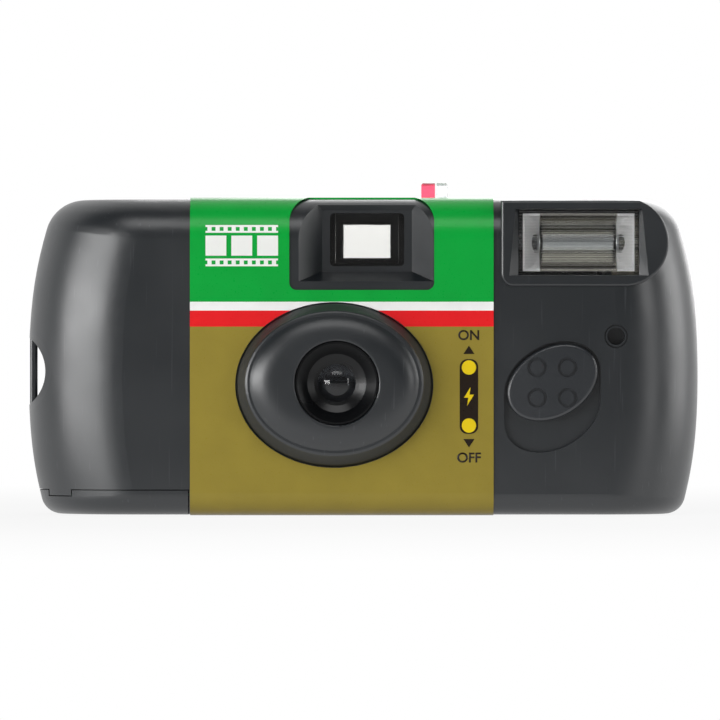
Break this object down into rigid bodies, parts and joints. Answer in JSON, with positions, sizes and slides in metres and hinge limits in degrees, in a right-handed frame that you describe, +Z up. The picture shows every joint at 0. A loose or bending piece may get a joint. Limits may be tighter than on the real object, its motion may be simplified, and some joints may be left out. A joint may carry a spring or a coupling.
{
  "type": "disposable film camera",
  "caption": "Single-use 35 mm film camera with built-in flash, printed band label, thumbwheel film transport, sliding flash switch, leaf shutter and cartridge door.",
  "frame": {"origin": "on the surface the camera stands on, under the middle of its box", "axes": "+Z up, front and lens face -Y, +X to the right as seen from the front"},
  "size_m": [0.1079, 0.034, 0.0534],
  "materials": {
    "casing_black": "moulded black styrene with a fine satin grain",
    "frame_black": "moulded matt black styrene",
    "button_grey": "moulded dark grey styrene, satin",
    "knob_black": "moulded black styrene, satin",
    "printed_label": "printed plastic film label, semi-gloss",
    "white_plastic": "moulded white acetal",
    "clear_optics": "moulded clear acrylic, polished",
    "clear_window": "moulded clear acrylic with ribs",
    "tube_glass": "drawn clear glass",
    "bright_reflector": "pressed bright aluminium",
    "blackened_steel": "thin blackened steel sheet",
    "spring_steel": "drawn spring wire",
    "cartridge_tinplate": "printed tinplate",
    "cartridge_cap": "pressed blackened tinplate",
    "film_base": "coated film",
    "board_laminate": "phenolic laminate with tinned tracks",
    "capacitor_sleeve": "shrink sleeve over aluminium can",
    "ferrite_yellow": "taped winding on a moulded bobbin",
    "coil_brown": "enamelled wire winding",
    "resistor_body": "lacquered film resistor",
    "cell_steel": "printed steel jacket",
    "contact_brass": "nickel-plated brass strip",
    "pipe_clear_red": "moulded clear acrylic with a red tinted prong"
  },
  "bodies": {
    "camera_body": {"front_cover": "casing_black", "rear_cover": "casing_black", "label": "printed_label", "main_frame": "frame_black", "lens_ring": "casing_black", "taking_lens": "clear_optics", "lens_holder": "frame_black", "shutter_spring": "spring_steel", "kick_lever_spring": "spring_steel", "counter_window": "clear_optics", "cartridge_shell": "cartridge_tinplate", "cartridge_top_cap": "cartridge_cap", "cartridge_bottom_cap": "cartridge_cap", "film_strip": "film_base", "viewfinder_front_lens": "clear_optics", "viewfinder_eyepiece": "clear_optics", "flash_window": "clear_window", "flash_reflector": "bright_reflector", "flash_tube": "tube_glass", "circuit_board": "board_laminate", "main_capacitor": "capacitor_sleeve", "transformer": "ferrite_yellow", "trigger_coil": "coil_brown", "resistors": "resistor_body", "pilot_lamp": "tube_glass", "battery_cell": "cell_steel", "battery_negative_contact": "contact_brass", "battery_positive_contact": "contact_brass", "sync_contacts": "contact_brass"},
    "shutter_button": {"shutter_button": "button_grey"},
    "release_lever": {"release_lever": "frame_black"},
    "thumbwheel": {"thumbwheel": "frame_black", "cartridge_spool": "frame_black"},
    "sprocket": {"sprocket_wheel": "white_plastic"},
    "supply_roll": {"film_roll": "film_base", "supply_spool": "frame_black"},
    "counter": {"counter_wheel": "white_plastic"},
    "kick_lever": {"kick_lever": "frame_black"},
    "shutter_blade": {"shutter_blade": "blackened_steel"},
    "flash_switch": {"flash_switch_knob": "knob_black", "switch_slider": "frame_black", "switch_contact": "contact_brass", "pilot_light_pipe": "pipe_clear_red"},
    "cartridge_door": {"cartridge_door": "casing_black"}
  },
  "joints": [
    {"name": "shutter_button_press", "type": "slide", "parent": "camera_body", "child": "shutter_button", "axis": [0, 0, -1], "range_m": [0, 0.0012], "stiffness_N_per_m": 250, "springref_m": -0.002},
    {"name": "release_lever_tip", "type": "hinge", "parent": "camera_body", "child": "release_lever", "pos_m": [-0.0226, -0.00235, 0.0464], "axis": [0, -1, 0], "range_deg": [0, 6.6]},
    {"name": "thumbwheel_turn", "type": "hinge", "parent": "camera_body", "child": "thumbwheel", "pos_m": [-0.037, 0.0029, 0.0431], "axis": [0, 0, 1], "continuous": true},
    {"name": "sprocket_turn", "type": "hinge", "parent": "camera_body", "child": "sprocket", "pos_m": [-0.0155, 0.008, 0.0368], "axis": [0, 0, 1], "continuous": true},
    {"name": "supply_roll_turn", "type": "hinge", "parent": "camera_body", "child": "supply_roll", "pos_m": [0.0268, 0.0055, 0.0212], "axis": [0, 0, 1], "continuous": true},
    {"name": "counter_turn", "type": "hinge", "parent": "camera_body", "child": "counter", "pos_m": [-0.0203, 0.001, 0.0479], "axis": [0, 0, 1], "continuous": true},
    {"name": "kick_lever_swing", "type": "hinge", "parent": "camera_body", "child": "kick_lever", "pos_m": [-0.0161, -0.002, 0.0413], "axis": [0, 0, 1], "range_deg": [0, 17], "stiffness_Nm_per_rad": 0.002, "springref_deg": -28.65},
    {"name": "shutter_blade_swing", "type": "hinge", "parent": "camera_body", "child": "shutter_blade", "pos_m": [-0.0126, -0.00932, 0.0275], "axis": [0, 1, 0], "range_deg": [0, 25]},
    {"name": "flash_switch_slide", "type": "slide", "parent": "camera_body", "child": "flash_switch", "axis": [0, 0, -1], "range_m": [0, 0.0046]},
    {"name": "cartridge_door_swing", "type": "hinge", "parent": "camera_body", "child": "cartridge_door", "pos_m": [-0.04, 0.0132, 0.00012], "axis": [1, 0, 0], "range_deg": [0, 100]}
  ],
  "couplings": [
    {"joint": "release_lever_tip", "follows": "shutter_button_press", "rad_per_m": 91.74},
    {"joint": "sprocket_turn", "follows": "thumbwheel_turn", "ratio": 1.25},
    {"joint": "supply_roll_turn", "follows": "thumbwheel_turn", "ratio": 0.87},
    {"joint": "counter_turn", "follows": "thumbwheel_turn", "ratio": -0.0417},
    {"joint": "shutter_blade_swing", "follows": "kick_lever_swing", "ratio": 1.47}
  ]
}
